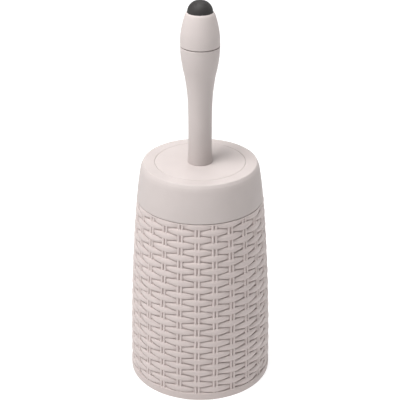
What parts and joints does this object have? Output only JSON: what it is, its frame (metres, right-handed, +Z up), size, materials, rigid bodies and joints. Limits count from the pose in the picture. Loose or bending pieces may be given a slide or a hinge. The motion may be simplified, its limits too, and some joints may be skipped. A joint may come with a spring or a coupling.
{
  "type": "toilet brush holder",
  "caption": "Freestanding toilet brush holder with a woven-look skirt, smooth collar, splash disc, hidden drip cup and a lift-out brush with an egg-shaped grip and soft pad.",
  "frame": {"origin": "centre of the foot rim, on the surface that the holder stands on", "axes": "+Z up along the brush's axis, -Y towards the front"},
  "size_m": [0.1304, 0.1304, 0.356],
  "materials": {
    "woven_plastic": "moulded rattan weave relief with fine lengthwise grain, satin",
    "smooth_plastic": "smooth satin moulded plastic",
    "soft_pad": "matt soft-touch",
    "liner_plastic": "satin moulded plastic",
    "core_plastic": "satin moulded plastic",
    "ring_plastic": "satin moulded plastic",
    "bristle": "bundles of fine nylon filament",
    "anchor_wire": "drawn wire"
  },
  "bodies": {
    "holder": {"holder_shell": "woven_plastic"},
    "cup": {"drip_cup": "liner_plastic"},
    "cap": {"top_cap": "smooth_plastic"},
    "disc": {"splash_disc": "smooth_plastic"},
    "brush": {"handle": "smooth_plastic", "grip_top": "smooth_plastic", "grip_pad": "soft_pad", "retaining_ring": "ring_plastic", "stem": "core_plastic", "head_core": "core_plastic", "tuft_row_1": "bristle", "tuft_row_2": "bristle", "tuft_row_3": "bristle", "tuft_row_4": "bristle", "tuft_row_5": "bristle", "tuft_row_6": "bristle", "tuft_row_7": "bristle", "tuft_row_8": "bristle", "end_tufts": "bristle", "tuft_anchors": "anchor_wire"}
  },
  "joints": [
    {"name": "cup_lift", "type": "slide", "parent": "holder", "child": "cup", "axis": [0, 0, 1], "range_m": [0, 0.18]},
    {"name": "cap_lift", "type": "slide", "parent": "cup", "child": "cap", "axis": [0, 0, 1], "range_m": [0, 0.18]},
    {"name": "brush_lift", "type": "slide", "parent": "cap", "child": "disc", "axis": [0, 0, 1], "range_m": [0, 0.21]},
    {"name": "brush_spin", "type": "hinge", "parent": "disc", "child": "brush", "pos_m": [0, 0, 0.2018], "axis": [0, 0, 1], "continuous": true}
  ]
}
